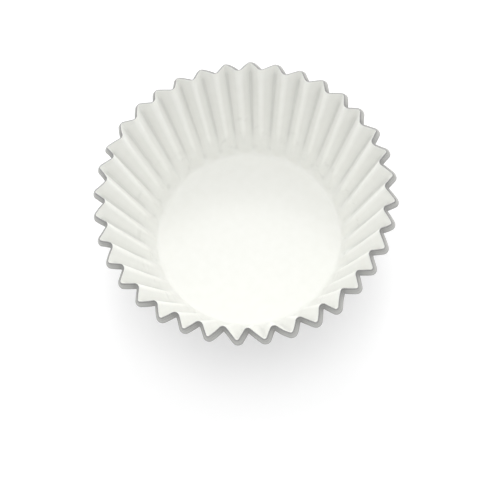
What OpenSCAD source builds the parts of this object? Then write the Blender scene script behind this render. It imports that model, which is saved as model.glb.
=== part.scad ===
// Cupcake liner: a fluted cup pressed from one round sheet of foil-backed paper.
// The origin is the centre of the base's underside, and the cup opens towards +Z.
// Its surface follows the flat sheet: each ring of the wall keeps the length that it had in the
// round blank, so the pleats start at nothing where the base ends and deepen towards the rim.

/* [Cup] */
// Diameter of the base, to the corner where base and wall would meet if that bend were sharp
base_d = 50; // [36:1:64]
// Length of the wall from that corner to the rim, along its slope
wall_len = 32; // [20:1:44]
// Lean of the wall away from upright, in degrees
flare = 20.5; // [12:0.5:30]

/* [Pleats] */
// Number of pleats round the wall
pleats = 36; // [28:1:44]
// Width of the rounded crest of each outward fold, measured at the rim
outer_crest_w = 1.0; // [0.5:0.1:1.6]
// Width of the rounded crest of each inward fold, measured at the rim
inner_crest_w = 1.6; // [1:0.1:2]

/* [Sheet] */
// Thickness of the sheet
sheet_t = 0.15; // [0.1:0.05:0.3]
// Outside radius of the bend between base and wall
heel_r = 1.5; // [1:0.1:3]

/* [Rim] */
// How far the foot of the edge band, which runs round outside the rim, lies below the rim
band_h = 1.5; // [0.8:0.1:2.6]
// How far that foot stands off the rim's outer skin, measured square to each flank
band_out = 0.9; // [0.3:0.1:1.1]

/* [Hidden] */
liner_colour = [0.88, 0.89, 0.88];
degrees = 180 / PI;

// Steps round the bend, and up the wall, closer together near the base, where the pleats start
heel_steps = 2;
wall_steps = 4;

// No crest gets narrower than this angle on each side of its middle
least_crest = 0.1;

// The bend turns the sheet from flat to the slope of the wall, and takes this much off both
turn = 90 - flare;
heel_cut = heel_r * tan(turn / 2);
heel_end_r = base_d / 2 - heel_cut + heel_r * sin(turn);
heel_end_z = heel_r * (1 - cos(turn));

// Climbs, the distances up the wall from the end of the bend. The band's underside is square to the wall.
rim_climb = wall_len - heel_cut;
band_climb = rim_climb - band_h * cos(flare);

// Radius of the smooth cone that the pleats zigzag about
function wall_r(climb) = heel_end_r + climb * sin(flare);

// Slope of the pleats' flanks. Its cosine is the cone's girth over the girth of the flat blank.
function flank_slope(climb) = acos(wall_r(climb) / (heel_end_r + climb));

// Angle between the middle of a fold and the edge of its rounded crest, the same all the way up
function crest_angle(outward) =
    (outward > 0 ? outer_crest_w : inner_crest_w) / 2 / wall_r(rim_climb) * degrees;

// How far a fold stands off the cone, at its middle (side 0) or at an edge of its crest (side -1 or 1).
// A sharp fold would stand half_pitch * tan(slope) / 2 off it, and the round crest cuts its tip away.
function fold_height(climb, outward, side) =
    let (
        slope = flank_slope(climb),
        half_pitch = PI * wall_r(climb) / pleats,
        half_crest = wall_r(climb) * crest_angle(outward) / degrees,
        crest_rise = side == 0 ? tan(slope / 2) : 0
    )
    half_pitch * tan(slope) / 2 - half_crest * (tan(slope) - crest_rise);

// A place on the profile of the smooth cup: radius, height, lean of the surface from flat, and the
// climb whose pleats it has
function heel_place(angle) = [
    base_d / 2 - heel_cut + heel_r * sin(angle),
    heel_r * (1 - cos(angle)),
    angle,
    0
];
function wall_place(climb) = [
    wall_r(climb),
    heel_end_z + climb * cos(flare),
    turn,
    climb
];

// One point of a ring, given how far it lies off the smooth cup and its angle round the axis
function ring_point(place, off, angle) =
    let (radius = place[0] + off * sin(place[2]))
    [radius * cos(angle), radius * sin(angle), place[1] - off * cos(place[2])];

// A ring of points on the sheet, three to a fold. Even folds point outward and odd ones inward.
// Depth is how far it lies inside the outer skin, or outside it when it is negative, measured square
// to each flank, so that a layer keeps its thickness round the folds.
function ring(place, depth) = [
    for (fold = [0 : 2 * pleats - 1])
    for (side = [-1 : 1])
    let (
        outward = fold % 2 == 0 ? 1 : -1,
        slope = flank_slope(place[3]),
        crest_slope = slope / 2,
        tilt = side == 0 ? 0 : (slope + crest_slope) / 2,
        half_bend = side == 0 ? crest_slope : (slope - crest_slope) / 2,
        mitre = depth / cos(half_bend),
        off = outward * fold_height(place[3], outward, side) - mitre * cos(tilt),
        narrower = outward * mitre * sin(tilt) / place[0] * degrees,
        half_angle = max(crest_angle(outward) - narrower, least_crest)
    )
    ring_point(place, off, fold * 180 / pleats + side * half_angle)
];

// Places from the edge of the flat base, round the bend and up the wall to a climb
function places_up_to(climb) = concat(
    [for (i = [0 : heel_steps]) heel_place(turn * i / heel_steps)],
    [for (i = [1 : wall_steps]) wall_place(climb * pow(i / wall_steps, 2))]
);

function reversed(list) = [for (i = [len(list) - 1 : -1 : 0]) list[i]];

// The sheet as rings: up the outside, round the edge band and over the rim, and down the inside
module liner() {
    places = places_up_to(band_climb);
    rim = wall_place(rim_climb);
    foot = [rim[0], rim[1] - band_h, turn, rim_climb];
    outside = [for (place = places) ring(place, 0)];
    band_foot = ring(foot, -band_out);
    rim_outside = ring(rim, 0);
    rim_inside = ring(rim, sheet_t);
    inside = reversed([for (place = places) ring(place, sheet_t)]);
    rings = concat(outside, [band_foot, rim_outside, rim_inside], inside);

    count = len(rim_outside);
    last = (len(rings) - 1) * count;
    strips = [
        for (i = [0 : len(rings) - 2])
        for (j = [0 : count - 1])
        let (
            here = i * count,
            next = (j + 1) % count
        )
        for (face = [
            [here + j, here + count + j, here + next],
            [here + next, here + count + j, here + count + next]
        ])
        face
    ];
    underside = [for (j = [0 : count - 1]) j];
    floor_inside = [for (j = [count - 1 : -1 : 0]) last + j];
    color(liner_colour)
    polyhedron(
        points = [for (loop = rings) for (point = loop) point],
        faces = concat([underside], strips, [floor_inside])
    );
}

liner();
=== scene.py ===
"""A cupcake liner, white paper inside and silver foil outside, standing on a plain white floor."""
import math

import bpy
import numpy as np
from mathutils import Matrix, Vector


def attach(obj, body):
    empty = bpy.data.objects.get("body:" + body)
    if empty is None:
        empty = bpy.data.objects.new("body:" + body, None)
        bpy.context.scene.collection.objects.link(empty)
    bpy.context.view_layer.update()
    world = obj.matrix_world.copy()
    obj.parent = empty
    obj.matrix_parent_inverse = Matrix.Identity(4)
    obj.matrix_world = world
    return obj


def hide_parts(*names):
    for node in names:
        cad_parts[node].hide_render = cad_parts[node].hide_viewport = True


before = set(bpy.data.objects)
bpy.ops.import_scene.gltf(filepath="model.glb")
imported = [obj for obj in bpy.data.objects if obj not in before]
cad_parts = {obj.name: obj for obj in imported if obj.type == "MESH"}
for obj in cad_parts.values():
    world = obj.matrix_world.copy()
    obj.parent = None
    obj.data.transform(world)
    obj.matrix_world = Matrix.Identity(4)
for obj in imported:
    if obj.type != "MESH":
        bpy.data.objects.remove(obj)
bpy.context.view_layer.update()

MM = 0.001

# The liner's dimensions, as in its source
BASE_R = 25 * MM
WALL_LEN = 32 * MM
FLARE = math.radians(20.5)
PLEATS = 36
OUTER_CREST = 1.0 * MM
INNER_CREST = 1.6 * MM
SHEET_T = 0.15 * MM
HEEL_R = 1.5 * MM
BAND_H = 1.5 * MM
BAND_OUT = 0.9 * MM

# What follows from them: the bend at the base, the rim, and the angle between neighbouring folds.
# Climbs are distances up the wall from the end of the bend.
TURN = math.pi / 2 - FLARE
HEEL_CUT = HEEL_R * math.tan(TURN / 2)
HEEL_END_R = BASE_R - HEEL_CUT + HEEL_R * math.sin(TURN)
HEEL_END_Z = HEEL_R * (1 - math.cos(TURN))
FLAT_R = BASE_R - HEEL_CUT
RIM_CLIMB = WALL_LEN - HEEL_CUT
BAND_CLIMB = RIM_CLIMB - BAND_H * math.cos(FLARE)
RIM_R = HEEL_END_R + RIM_CLIMB * math.sin(FLARE)
RIM_Z = HEEL_END_Z + RIM_CLIMB * math.cos(FLARE)
FOLDS = 2 * PLEATS
FOLD_ANGLE = math.pi / PLEATS

# How finely the sheet is modelled. The first ring is a share of the flat base before its power, and
# the powers set how the rings crowd together.
BASE_RINGS = 10
BASE_RING_POWER = 0.8
FIRST_RING = 0.02
HEEL_RINGS = 5
WALL_RINGS = 40
WALL_RING_POWER = 1.4
CREST_STEPS = 3
FLANK_STEPS = 3
LEAST_FOLD_R = 0.08 * MM
LEAST_BEND = 0.001
SHARP_ANGLE = math.radians(38)

# The edge band's layers: how far up each one its face reaches, and how far in it leans there
BAND_LAYERS = 4
LAYER_RISE = 0.65
LAYER_LEAN = 0.2

# How far hand and machine leave the pleats from perfect, all at the rim
SEED = 7
CREST_WIDTHS = (0.85, 1.15)
FOLD_SHIFT = 0.22 * MM
FOLD_DEPTH = 0.06
FLANK_BULGE = 0.07 * MM
BAND_SHIFT = 0.2 * MM
BAND_SHIFT_ANGLE = math.radians(30)

# How far the whole cup is from round: the lobes round the rim, and how they grow up the wall
ROUNDNESS = 0.25 * MM
LOBE_COUNTS = (2, 3, 5)
LOBE_SIZES = (0.3, 1)
LOBE_POWER = 1.5

# Small creases low on the wall, each drawn from these ranges. Sides are in folds, from an inward fold,
# and from the start's climb on they have their full height.
WRINKLES = 200
WRINKLE_TALL = 0.11 * MM
WRINKLE_SIDES = (0.25, 0.6)
WRINKLE_CLIMBS = (2.0 * MM, 13.0 * MM)
WRINKLE_SLANTS = (0.45, 0.95)
WRINKLE_LENGTHS = (0.7 * MM, 1.6 * MM)
WRINKLE_WIDTHS = (0.18 * MM, 0.32 * MM)
WRINKLE_SIZES = (0.35, 1)
WRINKLE_START = 1 * MM

# Upright tucks at the feet of the outward folds. The shift is in folds.
TUCKS = 50
TUCK_SHIFT = 0.3
TUCK_CLIMBS = (0.9 * MM, 2.6 * MM)
TUCK_LENGTH = 0.8 * MM
TUCK_WIDTHS = (0.25 * MM, 0.45 * MM)
TUCK_SIZES = (0.4, 1)

# Dents in the flat of the base, which fade out near the bend
DENTS = 26
DENT_REACH = 0.85 * BASE_R
DENT_WIDTHS = (1.5 * MM, 4.0 * MM)
DENT_HEIGHTS = (0.03 * MM, 0.09 * MM)
DENT_FADE = 3 * MM

# Where the painted shade and painted highlights along the folds change: the place of a crest's edge
# between the middles of two folds, the climbs at which they are at full strength, and how the painted
# shade of the valleys inside, at the outward folds, fades below the rim
CREST_EDGE = 0.8
FOIL_SHADING_FULL_CLIMB = 1 * MM
PAPER_SHADING_FULL_CLIMB = 9 * MM
PAPER_SHADING_POWER = 0.6
PAPER_VALLEY_SHADE_FADE = 3 * MM
PAPER_VALLEY_SHADE_LEAST = 0.35

# Camera, fitted to the folds of the rim and the edge of the base in a 500 by 500 pixel image
IMAGE_W = 500
SENSOR_W = 36
FOCAL_PX = 1213
RIM_CENTRE_PX = (243.8, 194.2)
CAMERA_ELEVATION = math.radians(66.6)
CAMERA_TURN = math.radians(9.15)
CAMERA_ROLL = math.radians(7.0)
CAMERA_DISTANCE = 303 * MM
CAMERA_CLIP = 10 * MM

# The places of the liner's materials in its mesh
FOIL, BAND, EDGE, PAPER = range(4)

# Light: the world from the near and the far side, and two softboxes, sizes and distances in metres
AMBIENT_NEAR = 0.62
AMBIENT_FAR = 1.36
KEY_ELEVATION = math.radians(49)
KEY_DISTANCE = 1.2
KEY_WIDTH = 0.5
KEY_SIZE = 0.22
KEY_POWER = 1.55
TOP_ELEVATION = math.radians(90)
TOP_DISTANCE = 1.0
TOP_WIDTH = 0.5
TOP_SIZE = 0.5
TOP_POWER = 1.0

# Floor, just below the base. Its glow is only seen and gives no light.
FLOOR_SIZE = 6
FLOOR_GAP = 0.02 * MM
FLOOR_GREY = 0.93
FLOOR_GLOW = 0.12
WHITE = (1, 1, 1, 1)


def wall_radius(climb):
    """Radius of the smooth cone that the pleats zigzag about."""
    return HEEL_END_R + climb * math.sin(FLARE)


def flank_slope(climb):
    """Slope of the pleats' flanks: its cosine is the smooth cone's girth over the flat blank's."""
    return np.arccos(np.clip(wall_radius(climb) / (HEEL_END_R + climb), 0, 1))


def sheet_rows():
    """Radius, height, lean and climb of each ring, from the middle of the base to the rim, as columns."""
    rows = []
    for share in np.linspace(FIRST_RING, 1, BASE_RINGS + 1):
        rows.append((FLAT_R * share ** BASE_RING_POWER, 0, 0, 0))
    for i in range(1, HEEL_RINGS + 1):
        lean = TURN * i / HEEL_RINGS
        rows.append((FLAT_R + HEEL_R * math.sin(lean), HEEL_R * (1 - math.cos(lean)), lean, 0))
    for i in range(1, WALL_RINGS + 1):
        climb = RIM_CLIMB * (i / WALL_RINGS) ** WALL_RING_POWER
        rows.append((wall_radius(climb), HEEL_END_Z + climb * math.cos(FLARE), TURN, climb))
    return np.array(rows).T[:, :, None]


def draw_folds(rng):
    """What sets each fold and flank apart from the others, even folds outward and odd ones inward.

    Crest, middle and shift are angles round the axis, deeper is a factor and bulge a length."""
    sign = np.where(np.arange(FOLDS) % 2 == 0, 1.0, -1.0)
    width = np.where(sign > 0, OUTER_CREST, INNER_CREST)
    return {
        "sign": sign,
        "crest": width / 2 / RIM_R * rng.uniform(*CREST_WIDTHS, FOLDS),
        "middle": np.arange(FOLDS) * FOLD_ANGLE,
        "shift": rng.normal(0, FOLD_SHIFT / RIM_R, FOLDS),
        "deeper": 1 + rng.normal(0, FOLD_DEPTH, FOLDS),
        "bulge": rng.normal(0, FLANK_BULGE, FOLDS),
    }


def draw_lobes(rng):
    """How far the whole cup is from round at the rim, as a function of the angle."""
    waves = [(n, rng.uniform(*LOBE_SIZES), rng.uniform(0, 2 * math.pi)) for n in LOBE_COUNTS]

    def lobes(angle):
        return ROUNDNESS / 2 * sum(size * np.cos(n * angle + start) for n, size, start in waves)

    return lobes


def pleat_columns(climb, folds, spread=0.0):
    """Angle and height off the smooth cup of each point of the sheet, ring by ring.

    Spread moves every flank outward, square to itself, so outward folds get rounder and inward ones
    sharper."""
    sign = folds["sign"]
    share = climb / RIM_CLIMB
    slope = flank_slope(climb)
    radius = wall_radius(climb)
    at = folds["middle"] + folds["shift"] * share

    # A sharp fold would stand this far off the smooth cup. An arc rounds it between its crest's edges.
    sharp = FOLD_ANGLE * radius * np.tan(slope) / 2 * folds["deeper"]
    bend = np.maximum(np.sin(slope), LEAST_BEND)
    arc_r = np.maximum(radius * folds["crest"] / bend + sign * spread, LEAST_FOLD_R)
    half_crest = arc_r * bend
    crest = half_crest / radius
    edge = sharp - half_crest * np.tan(slope)
    lift = spread / np.cos(slope)

    def crest_off(part):
        """Height of the crest's arc, a part of the way from its middle to its edge."""
        rise = np.sqrt(arc_r ** 2 - (half_crest * part) ** 2) - arc_r * np.cos(slope)
        return sign * (edge + np.where(slope > LEAST_BEND, rise, 0)) + lift

    # Each stretch runs from the middle of a fold, over the flank, to the middle of the next fold
    next_at = np.roll(at, -1, axis=1)
    next_at[:, -1] += 2 * math.pi
    next_crest = np.roll(crest, -1, axis=1)
    start = at + crest
    end = next_at - next_crest
    low = sign * edge + lift
    high = np.roll(low, -1, axis=1)
    angles, offs = [], []
    for i in range(CREST_STEPS):
        part = i / CREST_STEPS
        angles.append(at + crest * part)
        offs.append(crest_off(part))
    for i in range(FLANK_STEPS + 2):
        part = i / (FLANK_STEPS + 1)
        bulge = folds["bulge"] * share * math.sin(math.pi * part)
        angles.append(start + (end - start) * part)
        offs.append(low + (high - low) * part + bulge)
    for i in range(CREST_STEPS - 1, 0, -1):
        part = i / CREST_STEPS
        angles.append(next_at - next_crest * part)
        offs.append(np.roll(crest_off(part), -1, axis=1))
    rows = len(climb)
    return np.stack(angles, axis=2).reshape(rows, -1), np.stack(offs, axis=2).reshape(rows, -1)


def fold_places():
    """Where each point of a ring lies between the middle of an inward fold, -1, and an outward one, 1."""
    crest = np.linspace(1, CREST_EDGE, CREST_STEPS, endpoint=False)
    flank = np.linspace(CREST_EDGE, -CREST_EDGE, FLANK_STEPS + 2)
    half = np.concatenate([crest, flank, -crest[:0:-1]])
    return np.tile(np.concatenate([half, -half]), PLEATS)


def crease(angle, climb, middle, up, slant, length, width):
    """A straight crease on the wall, 1 tall in its middle, at a slant from upright."""
    across = (np.mod(angle - middle + math.pi, 2 * math.pi) - math.pi) * HEEL_END_R
    rise = climb - up
    along = across * math.sin(slant) + rise * math.cos(slant)
    aside = across * math.cos(slant) - rise * math.sin(slant)
    return np.exp(-(along / length) ** 2 - (aside / width) ** 2)


def wrinkles(angle, climb, rng):
    """Height of the creases low on the wall, where the press crowds the sheet.

    Most slant down from the inward folds. The tucks stand upright at the feet of the outward ones."""
    height = np.zeros_like(angle)
    for _ in range(WRINKLES):
        side = rng.choice([-1, 1])
        middle = (2 * rng.integers(PLEATS) + 1 + side * rng.uniform(*WRINKLE_SIDES)) * FOLD_ANGLE
        up = rng.uniform(*WRINKLE_CLIMBS)
        slant = -side * rng.uniform(*WRINKLE_SLANTS)
        length = rng.uniform(*WRINKLE_LENGTHS)
        width = rng.uniform(*WRINKLE_WIDTHS)
        tall = WRINKLE_TALL * rng.uniform(*WRINKLE_SIZES) * rng.choice([-1, 1])
        height += tall * crease(angle, climb, middle, up, slant, length, width)
    for _ in range(TUCKS):
        middle = (2 * rng.integers(PLEATS) + rng.normal(0, TUCK_SHIFT)) * FOLD_ANGLE
        up = rng.uniform(*TUCK_CLIMBS)
        width = rng.uniform(*TUCK_WIDTHS)
        tall = WRINKLE_TALL * rng.uniform(*TUCK_SIZES)
        height += tall * crease(angle, climb, middle, up, 0, TUCK_LENGTH, width)
    return height * np.minimum(climb / WRINKLE_START, 1)


def dents(radius, angle, rng):
    """Height of the faint dents in the flat of the base, which lift it a little off the floor."""
    height = np.zeros_like(angle)
    x = radius * np.cos(angle)
    y = radius * np.sin(angle)
    for _ in range(DENTS):
        far = DENT_REACH * math.sqrt(rng.uniform())
        turn = rng.uniform(0, 2 * math.pi)
        width = rng.uniform(*DENT_WIDTHS)
        tall = rng.uniform(*DENT_HEIGHTS)
        away = (x - far * math.cos(turn)) ** 2 + (y - far * math.sin(turn)) ** 2
        height += tall * np.exp(-away / width ** 2)
    return height * np.clip((FLAT_R - radius) / DENT_FADE, 0, 1)


def ring_points(radius, height, lean, angle, off):
    """Points that stand off the smooth cup along its own normal."""
    out = radius + off * np.sin(lean)
    return np.stack([out * np.cos(angle), out * np.sin(angle), height - off * np.cos(lean)], axis=-1)


def skin_normals(points):
    """Outward normals of the sheet's outer skin, straight down in the flat of the base."""
    across = np.roll(points, -1, axis=1) - np.roll(points, 1, axis=1)
    normal = np.cross(across, np.gradient(points, axis=0))
    normal /= np.linalg.norm(normal, axis=2, keepdims=True)
    normal[:BASE_RINGS + 1] = (0, 0, -1)
    return normal


def band_profile():
    """Drop and spread of the edge band's rings, from its foot up. Each layer ends a step below the next."""
    profile = []
    rise = LAYER_RISE / BAND_LAYERS
    lean = LAYER_LEAN / BAND_LAYERS
    for i in range(BAND_LAYERS):
        foot = 1 - i / BAND_LAYERS
        profile.append((BAND_H * foot, BAND_OUT * foot))
        profile.append((BAND_H * (foot - rise), BAND_OUT * (foot - lean)))
    return profile


def band_ring(drop, spread, folds, lobes):
    """A ring of the edge band, which sits a little to one side of the rim."""
    angle, off = pleat_columns(np.array([[RIM_CLIMB]]), folds, spread)
    ring = ring_points(RIM_R, RIM_Z - drop, TURN, angle, off + lobes(angle))[0]
    aside = BAND_SHIFT * spread / BAND_OUT
    return ring + (aside * math.cos(BAND_SHIFT_ANGLE), aside * math.sin(BAND_SHIFT_ANGLE), 0)


def build_rings():
    """The closed sheet's rings, up the outside, over the rim and down the inside, and a ring's angles.

    Each ring has its points, their climb, their share of the edge band's height, their places between
    the folds, how far they stand out or in on a wrinkle, and the material slot of the strip after it."""
    rng = np.random.default_rng(SEED)
    radius, height, lean, climb = sheet_rows()
    folds = draw_folds(rng)
    lobes = draw_lobes(rng)
    angle, off = pleat_columns(climb, folds)
    off = off + lobes(angle) * (climb / RIM_CLIMB) ** LOBE_POWER
    wrinkle = wrinkles(angle, climb, rng)
    outside = ring_points(radius, height, lean, angle, off + wrinkle)
    outside[..., 2] += dents(radius, angle, rng)
    inside = outside - SHEET_T * skin_normals(outside)

    place = fold_places()
    # Outside, the painted highlights and painted shade at the folds fade in over the first climb
    foil_shading_place = place * np.clip(climb / FOIL_SHADING_FULL_CLIMB, 0, 1)
    # Inside, the painted shade of the valleys fades towards the rim, and all the painted shading fades out
    # towards the base
    valley_shade_share = np.clip((RIM_CLIMB - climb) / PAPER_VALLEY_SHADE_FADE, PAPER_VALLEY_SHADE_LEAST, 1)
    paper_shading_place = np.where(place > 0, place * valley_shade_share, place)
    paper_shading_place = paper_shading_place * np.clip(climb / PAPER_SHADING_FULL_CLIMB, 0, 1) ** PAPER_SHADING_POWER
    rings = []

    def add(slot, points, up, band_share=0.0, fold=place, raised=wrinkle[-1]):
        rings.append({
            "slot": slot,
            "points": points,
            "climb": up,
            "band_share": band_share,
            "fold": fold,
            "wrinkle": raised / WRINKLE_TALL,
        })

    for row in np.flatnonzero(climb < BAND_CLIMB):
        add(FOIL, outside[row], climb[row], 0.0, foil_shading_place[row], wrinkle[row])
    for drop, spread in band_profile():
        add(BAND, band_ring(drop, spread, folds, lobes), RIM_CLIMB - drop, 1 - drop / BAND_H)
    add(EDGE, outside[-1], RIM_CLIMB, 1.0)
    for row in reversed(range(len(climb))):
        add(PAPER, inside[row], climb[row], 0.0, paper_shading_place[row], wrinkle[row])
    return rings, angle[0]


def sheet_faces(rings, count):
    """Faces of the strips between rings and of the fans that close both ends, with their slots."""
    here = np.arange(count)
    after = np.roll(here, -1)
    last = (len(rings) - 1) * count
    below = np.full(count, len(rings) * count)
    faces = []
    for low in range(0, last, count):
        high = low + count
        faces += np.stack([low + here, low + after, high + after, high + here], axis=1).tolist()
    faces += np.stack([after, here, below], axis=1).tolist()
    faces += np.stack([last + here, last + after, below + 1], axis=1).tolist()
    slots = [ring["slot"] for ring in rings[:-1]] + [rings[0]["slot"], rings[-1]["slot"]]
    return faces, np.repeat(slots, count)


def add_attributes(mesh, rings, angle):
    """What the materials read. A point's flat_sheet is its place if the wall were upright and unpleated."""
    unit = np.stack([np.cos(angle), np.sin(angle)], axis=1)
    flat = []
    for ring in rings:
        reach = min(np.hypot(ring["points"][:, 0], ring["points"][:, 1]).mean(), BASE_R)
        flat.append(np.column_stack([unit * reach, np.full(len(angle), ring["climb"])]))
    flat = np.concatenate(flat + [np.zeros((2, 3))])
    mesh.attributes.new("flat_sheet", "FLOAT_VECTOR", "POINT").data.foreach_set("vector", flat.ravel())
    for name in ("band_share", "fold", "wrinkle"):
        values = [np.broadcast_to(ring[name], len(angle)) for ring in rings] + [np.zeros(2)]
        mesh.attributes.new(name, "FLOAT", "POINT").data.foreach_set("value", np.concatenate(values))


def build_liner(materials):
    """One closed mesh, the rings with a point in the middle of each end."""
    rings, angle = build_rings()
    faces, slots = sheet_faces(rings, len(angle))
    loops = [ring["points"] for ring in rings]
    points = np.concatenate(loops + [[loops[0].mean(axis=0), loops[-1].mean(axis=0)]])
    mesh = bpy.data.meshes.new("cupcake_liner")
    mesh.from_pydata(points.tolist(), [], faces)
    mesh.polygons.foreach_set("material_index", slots)
    mesh.polygons.foreach_set("use_smooth", [True] * len(faces))
    for material in materials:
        mesh.materials.append(material)
    add_attributes(mesh, rings, angle)
    mesh.validate()
    mesh.set_sharp_from_angle(angle=SHARP_ANGLE)
    liner = bpy.data.objects.new("cupcake_liner", mesh)
    bpy.context.scene.collection.objects.link(liner)
    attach(liner, "root")
    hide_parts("liner")


class Nodes:
    """Adds shader nodes to a material or a world and links them."""

    def __init__(self, owner, shader="Principled BSDF"):
        owner.use_nodes = True
        self.owner = owner
        self.tree = owner.node_tree
        self.shader = self.tree.nodes[shader]

    def feed(self, node, name, value):
        if isinstance(value, bpy.types.NodeSocket):
            self.tree.links.new(value, node.inputs[name])
        else:
            node.inputs[name].default_value = value

    def feed_all(self, node, inputs):
        for name, value in inputs.items():
            self.feed(node, name.replace("_", " "), value)

    def add(self, kind, settings=None, **inputs):
        node = self.tree.nodes.new(kind)
        for name, value in (settings or {}).items():
            setattr(node, name, value)
        self.feed_all(node, inputs)
        return node

    def surface(self, **inputs):
        """Feeds the shader that the material or world ends with."""
        self.feed_all(self.shader, inputs)
        return self.owner

    def attribute(self, name, output="Fac"):
        return self.add("ShaderNodeAttribute", {"attribute_name": name}).outputs[output]

    def coordinates(self, kind):
        return self.add("ShaderNodeTexCoord").outputs[kind]

    def part(self, vector, axis):
        return self.add("ShaderNodeSeparateXYZ", Vector=vector).outputs[axis]

    def stretched(self, vector, scale):
        return self.add("ShaderNodeMapping", Vector=vector, Scale=scale).outputs["Vector"]

    def noise(self, vector, scale, detail=3.0, roughness=0.5):
        node = self.add(
            "ShaderNodeTexNoise", Vector=vector, Scale=scale, Detail=detail, Roughness=roughness
        )
        return node.outputs["Fac"]

    def ramp(self, value, *stops):
        """A colour ramp. Each stop is a place and a grey or a colour."""
        node = self.add("ShaderNodeValToRGB", Fac=value)
        elements = node.color_ramp.elements
        while len(elements) < len(stops):
            elements.new(1.0)
        for element, (at, colour) in zip(elements, stops):
            element.position = at
            element.color = (*colour, 1) if isinstance(colour, tuple) else (colour, colour, colour, 1)
        return node.outputs["Color"]

    def math(self, operation, first, second):
        node = self.add("ShaderNodeMath", {"operation": operation})
        self.feed(node, 0, first)
        self.feed(node, 1, second)
        return node.outputs[0]

    def map_range(self, value, low, high, to_low=0.0, to_high=1.0):
        """A value brought from one range to another and held inside it."""
        node = self.add("ShaderNodeMapRange", Value=value, From_Min=low, From_Max=high)
        self.feed(node, "To Min", to_low)
        self.feed(node, "To Max", to_high)
        return node.outputs[0]

    def signed(self, name):
        """An attribute that runs from -1 to 1, brought to the range from 0 to 1."""
        return self.map_range(self.attribute(name), -1.0, 1.0)

    def mix(self, factor, first, second, blend="MIX"):
        """Two colours mixed."""
        node = self.add("ShaderNodeMix", {"data_type": "RGBA", "blend_type": blend})
        self.feed(node, "Factor", factor)
        colours = [socket for socket in node.inputs if socket.type == "RGBA"]
        self.tree.links.new(first, colours[0])
        self.tree.links.new(second, colours[1])
        return next(socket for socket in node.outputs if socket.type == "RGBA")

    def multiply(self, first, second):
        """The product of two colours."""
        return self.mix(1.0, first, second, "MULTIPLY")

    def bump(self, height, distance, strength, normal=None):
        node = self.add("ShaderNodeBump", Height=height, Distance=distance, Strength=strength)
        if normal is not None:
            self.feed(node, "Normal", normal)
        return node.outputs["Normal"]

    def seen(self):
        """1 where the camera, a reflection or a clear material sees the surface, 0 where it gives light."""
        path = self.add("ShaderNodeLightPath").outputs
        mirrored = self.math("MAXIMUM", path["Is Glossy Ray"], path["Is Transmission Ray"])
        return self.math("MAXIMUM", path["Is Camera Ray"], mirrored)


def paper_material():
    """Greaseproof paper: white with a trace of warmth, faintly mottled, with a soft shine.

    Painted shade darkens the valleys and the wrinkles' grooves, and painted highlights lighten the inward
    crests and the wrinkles' ridges.
    """
    nodes = Nodes(bpy.data.materials.new("white_paper"))
    place = nodes.coordinates("Object")
    mottle = nodes.noise(place, scale=420, detail=4)
    fibre = nodes.noise(place, scale=2600, detail=3, roughness=0.6)
    normal = nodes.bump(mottle, distance=0.05 * MM, strength=0.5)
    normal = nodes.bump(fibre, distance=0.012 * MM, strength=0.6, normal=normal)
    white = nodes.ramp(mottle, (0.3, (0.900, 0.903, 0.870)), (0.7, (0.920, 0.923, 0.893)))
    # Painted shade along the valleys, at the outward folds, and a painted highlight on the inward crests
    place_on_fold = nodes.signed("fold")
    fold = nodes.ramp(
        place_on_fold, (0.02, 1.03), (0.09, 1.0), (0.14, 0.97), (0.5, 0.97), (0.82, 0.92), (0.97, 0.81)
    )
    # Painted shade in the wrinkles' grooves and painted highlights on their ridges, seen from inside
    wrinkle = nodes.ramp(nodes.signed("wrinkle"), (0.1, 1.02), (0.5, 1.0), (0.9, 0.93))
    return nodes.surface(
        Base_Color=nodes.multiply(white, nodes.multiply(fold, wrinkle)),
        Roughness=nodes.ramp(fibre, (0.3, 0.46), (0.7, 0.58)),
        Specular_IOR_Level=0.3,
        Normal=normal,
    )


def foil_material():
    """Aluminium foil with the fine crinkles that pressing leaves, longer up the wall than across it.

    Every inward fold shows as a painted highlight, a bright line between lines of painted shade, which
    widen where the wall begins. Painted shade darkens the wrinkles' grooves and painted highlights their
    ridges."""
    nodes = Nodes(bpy.data.materials.new("silver_foil"))
    sheet = nodes.attribute("flat_sheet", "Vector")
    crinkle = nodes.noise(nodes.stretched(sheet, (1, 1, 0.35)), scale=520, detail=3, roughness=0.55)
    grain = nodes.noise(nodes.coordinates("Object"), scale=3200, detail=2)
    normal = nodes.bump(crinkle, distance=0.06 * MM, strength=0.5)
    normal = nodes.bump(grain, distance=0.008 * MM, strength=0.5, normal=normal)
    silver = nodes.ramp(crinkle, (0.3, 0.75), (0.7, 0.81))
    # Painted highlight and painted shade at the inward folds: high on the wall a bright line between grey
    # lines, low on the wall a wider grey that darkens towards the base
    place = nodes.signed("fold")
    low = nodes.ramp(
        place, (0.0, 0.82), (0.03, 0.80), (0.08, 0.66), (0.2, 0.92), (0.5, 0.95), (0.9, 0.97)
    )
    high = nodes.ramp(
        place, (0.0, 1.06), (0.025, 1.06), (0.06, 0.74), (0.12, 0.94), (0.3, 0.98), (0.9, 1.0)
    )
    up = nodes.map_range(nodes.part(sheet, "Z"), low=1 * MM, high=9 * MM)
    # Painted shade in the wrinkles' grooves and painted highlights on their ridges, seen from outside
    wrinkle = nodes.ramp(nodes.signed("wrinkle"), (0.1, 0.80), (0.5, 1.0), (0.9, 1.07))
    colour = nodes.multiply(silver, nodes.mix(up, low, high))
    return nodes.surface(
        Base_Color=nodes.multiply(colour, wrinkle),
        Metallic=1.0,
        Roughness=nodes.ramp(crinkle, (0.3, 0.34), (0.7, 0.26)),
        Normal=normal,
    )


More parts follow.
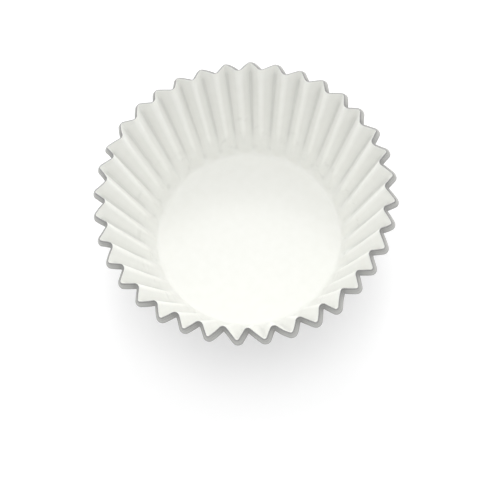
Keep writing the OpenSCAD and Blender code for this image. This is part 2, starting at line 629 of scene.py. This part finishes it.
def band_material():
    """The edge band: dull grey, with fine lines along it where the cut edges lie, dark at its top.

    Painted shade darkens its foot and the inward folds, and a painted highlight lightens the outward tips.
    """
    nodes = Nodes(bpy.data.materials.new("edge_band"))
    share = nodes.attribute("band_share")
    waver = nodes.math("MULTIPLY", nodes.noise(nodes.coordinates("Object"), scale=300, detail=2), 0.12)
    lines = nodes.add(
        "ShaderNodeTexNoise",
        {"noise_dimensions": "1D"},
        W=nodes.math("ADD", share, waver),
        Scale=15.0,
        Detail=2.0,
    ).outputs["Fac"]
    grey = nodes.ramp(lines, (0.35, (0.29, 0.29, 0.28)), (0.65, (0.57, 0.57, 0.55)))
    # Painted shade at the inward folds and a painted highlight at the outward tips
    fold = nodes.ramp(nodes.signed("fold"), (0.0, 0.74), (0.35, 0.95), (1.0, 1.1))
    # Darker at its top, by the cut edge, and painted shade at its foot, where the band stands out from the
    # wall
    foot_shade_and_top_line = nodes.ramp(share, (0.0, 0.78), (0.14, 1.0), (0.86, 1.0), (0.97, 0.55))
    return nodes.surface(
        Base_Color=nodes.multiply(nodes.multiply(grey, fold), foot_shade_and_top_line),
        Metallic=0.1,
        Roughness=0.6,
        Normal=nodes.bump(lines, distance=0.04 * MM, strength=0.6),
    )


def edge_material():
    """The cut edge of foil and paper at the rim, dull and darker than both."""
    nodes = Nodes(bpy.data.materials.new("cut_edge"))
    grain = nodes.noise(nodes.coordinates("Object"), scale=1500, detail=2)
    return nodes.surface(
        Base_Color=nodes.ramp(grain, (0.3, 0.32), (0.7, 0.42)),
        Metallic=0.2,
        Roughness=0.6,
    )


def build_floor():
    """A white floor that shows as white paper and keeps the liner's shadow."""
    bpy.ops.mesh.primitive_plane_add(size=FLOOR_SIZE, location=(0, 0, -FLOOR_GAP))
    floor = bpy.context.object
    floor.name = "floor"
    nodes = Nodes(bpy.data.materials.new("white_floor"))
    floor.data.materials.append(nodes.surface(
        Base_Color=(FLOOR_GREY, FLOOR_GREY, FLOOR_GREY, 1),
        Roughness=0.9,
        Specular_IOR_Level=0.0,
        Emission_Color=WHITE,
        Emission_Strength=nodes.math("MULTIPLY", nodes.seen(), FLOOR_GLOW),
    ))


def build_world():
    """White all round for the camera and for reflections. As light it is stronger from the far side."""
    nodes = Nodes(bpy.data.worlds.new("studio"), "Background")
    far_side = nodes.part(nodes.coordinates("Generated"), "Y")
    ambient = nodes.map_range(far_side, -1.0, 1.0, AMBIENT_NEAR, AMBIENT_FAR)
    strength = nodes.map_range(nodes.seen(), 0.0, 1.0, ambient, 1.0)
    bpy.context.scene.world = nodes.surface(Color=WHITE, Strength=strength)


def build_softbox(name, elevation, distance, width, size, power):
    """An oval softbox, overhead or on the far side, turned to the liner."""
    lamp = bpy.data.lights.new(name, "AREA")
    lamp.shape = "ELLIPSE"
    lamp.size = width
    lamp.size_y = size
    lamp.energy = power
    softbox = bpy.data.objects.new(name, lamp)
    towards = Vector((0, math.cos(elevation), math.sin(elevation)))
    softbox.location = towards * distance
    softbox.rotation_euler = towards.to_track_quat("Z", "Y").to_euler()
    bpy.context.scene.collection.objects.link(softbox)


def build_camera():
    """The camera looks at the middle of the rim, which it sees at RIM_CENTRE_PX of the image."""
    data = bpy.data.cameras.new("camera")
    data.sensor_width = SENSOR_W
    data.lens = FOCAL_PX / IMAGE_W * SENSOR_W
    data.clip_start = CAMERA_CLIP
    flat = math.cos(CAMERA_ELEVATION)
    back = Vector((
        math.sin(CAMERA_TURN) * flat,
        -math.cos(CAMERA_TURN) * flat,
        math.sin(CAMERA_ELEVATION),
    ))
    right = Vector((math.cos(CAMERA_TURN), math.sin(CAMERA_TURN), 0))
    up = back.cross(right)
    rolled_right = right * math.cos(CAMERA_ROLL) - up * math.sin(CAMERA_ROLL)
    rolled_up = right * math.sin(CAMERA_ROLL) + up * math.cos(CAMERA_ROLL)
    straight = Matrix((rolled_right, rolled_up, back)).transposed()
    aim = Vector((
        (RIM_CENTRE_PX[0] - IMAGE_W / 2) / FOCAL_PX,
        (IMAGE_W / 2 - RIM_CENTRE_PX[1]) / FOCAL_PX,
        -1,
    ))
    nudge = aim.rotation_difference(Vector((0, 0, -1))).to_matrix()
    place = Vector((0, 0, RIM_Z)) + back * CAMERA_DISTANCE
    camera = bpy.data.objects.new("camera", data)
    camera.matrix_world = Matrix.Translation(place) @ (straight @ nudge).to_4x4()
    bpy.context.scene.collection.objects.link(camera)
    bpy.context.scene.camera = camera


bpy.context.scene.view_settings.view_transform = "Standard"
build_camera()
build_world()
build_softbox("key", KEY_ELEVATION, KEY_DISTANCE, KEY_WIDTH, KEY_SIZE, KEY_POWER)
build_softbox("top", TOP_ELEVATION, TOP_DISTANCE, TOP_WIDTH, TOP_SIZE, TOP_POWER)
build_floor()
build_liner([foil_material(), band_material(), edge_material(), paper_material()])
